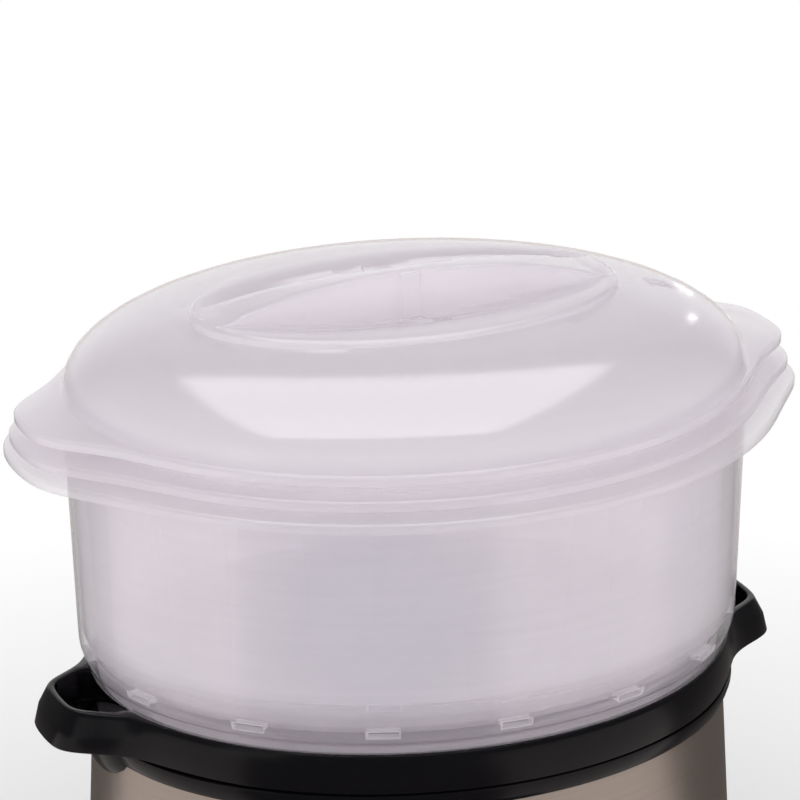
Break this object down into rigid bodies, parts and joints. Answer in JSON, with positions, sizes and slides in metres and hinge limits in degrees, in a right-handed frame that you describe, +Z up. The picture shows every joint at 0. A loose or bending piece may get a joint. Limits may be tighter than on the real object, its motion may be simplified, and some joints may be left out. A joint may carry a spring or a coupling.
{
  "type": "electric food steamer",
  "caption": "Oval electric food steamer: base with heater, water tank and timer knob, drip tray, nested steaming baskets with lifting tabs and a domed lid with a hand grip.",
  "frame": {"origin": "on the table, under the middle of the base", "axes": "+Z up, +X along the long axis of the oval, -Y towards the front with the timer knob"},
  "size_m": [0.3288, 0.2638, 0.2935],
  "materials": {
    "black_gloss": "glossy black moulded plastic",
    "black_satin": "fine-grained black plastic",
    "steel_wrap": "brushed stainless steel, warm grey, grain round the base",
    "translucent": "milky translucent polypropylene",
    "tray_clear": "translucent polypropylene, slightly grey",
    "tank_plastic": "dark grey plastic",
    "ring_plastic": "light grey plastic",
    "foot_rubber": "soft dark rubber",
    "seal_silicone": "red-brown silicone",
    "screw_zinc": "zinc-plated steel",
    "dish_steel": "stainless steel, spun",
    "plate_alu": "cast aluminium",
    "element_metal": "oxidised metal sheath",
    "spring_steel": "spring steel",
    "cutout_black": "dark brown moulded resin",
    "fuse_white": "white glass-fibre sleeve",
    "dial_print": "dark dial with light numbers",
    "lens_red": "clear red plastic",
    "lamp_glass": "small glow lamp",
    "timer_white": "white moulded plastic",
    "bell_metal": "nickel-plated steel",
    "bracket_zinc": "zinc-plated sheet steel",
    "shaft_steel": "steel",
    "gland_rubber": "black rubber",
    "clamp_plastic": "black plastic",
    "terminal_white": "off-white thermoset"
  },
  "bodies": {
    "base": {"collar": "black_gloss", "trim_ring": "black_gloss", "steel_sleeve": "steel_wrap", "base_plate": "black_satin", "feet": "foot_rubber", "base_screws": "screw_zinc", "water_tank": "tank_plastic", "tank_screws": "screw_zinc", "heater_dish": "dish_steel", "heater_seal": "seal_silicone", "heater_clamp": "plate_alu", "heater_screws": "screw_zinc", "heat_plate": "plate_alu", "heating_element": "element_metal", "thermal_cutout": "cutout_black", "cutout_bracket": "spring_steel", "thermal_fuse": "fuse_white", "control_panel": "black_gloss", "dial_plate": "dial_print", "indicator_lens": "lens_red", "indicator_lamp": "lamp_glass", "timer_case": "timer_white", "timer_screws": "screw_zinc", "timer_bell": "bell_metal", "timer_bracket": "bracket_zinc", "bracket_screws": "screw_zinc", "cord_gland": "gland_rubber", "cord_clamp": "clamp_plastic", "cord_clamp_screws": "screw_zinc", "terminal_block": "terminal_white"},
    "knob": {"timer_knob": "black_gloss", "timer_shaft": "shaft_steel"},
    "steam_ring": {"steam_ring": "ring_plastic"},
    "drip_tray": {"drip_tray": "tray_clear"},
    "basket_large": {"basket_large": "translucent"},
    "basket_medium": {"basket_medium": "translucent"},
    "lid": {"lid": "translucent"}
  },
  "joints": [
    {"name": "timer_turn", "type": "hinge", "parent": "base", "child": "knob", "pos_m": [0, -0.11, 0.052], "axis": [0, 1, 0], "range_deg": [0, 300]},
    {"name": "steam_ring_lift", "type": "slide", "parent": "base", "child": "steam_ring", "axis": [0, 0, 1], "range_m": [0, 0.08]},
    {"name": "drip_tray_lift", "type": "slide", "parent": "steam_ring", "child": "drip_tray", "axis": [0, 0, 1], "range_m": [0, 0.06]},
    {"name": "basket_large_lift", "type": "slide", "parent": "drip_tray", "child": "basket_large", "axis": [0, 0, 1], "range_m": [0, 0.06]},
    {"name": "basket_medium_lift", "type": "slide", "parent": "basket_large", "child": "basket_medium", "axis": [0, 0, 1], "range_m": [0, 0.12]},
    {"name": "lid_lift", "type": "slide", "parent": "basket_medium", "child": "lid", "axis": [0, 0, 1], "range_m": [0, 0.1]}
  ]
}
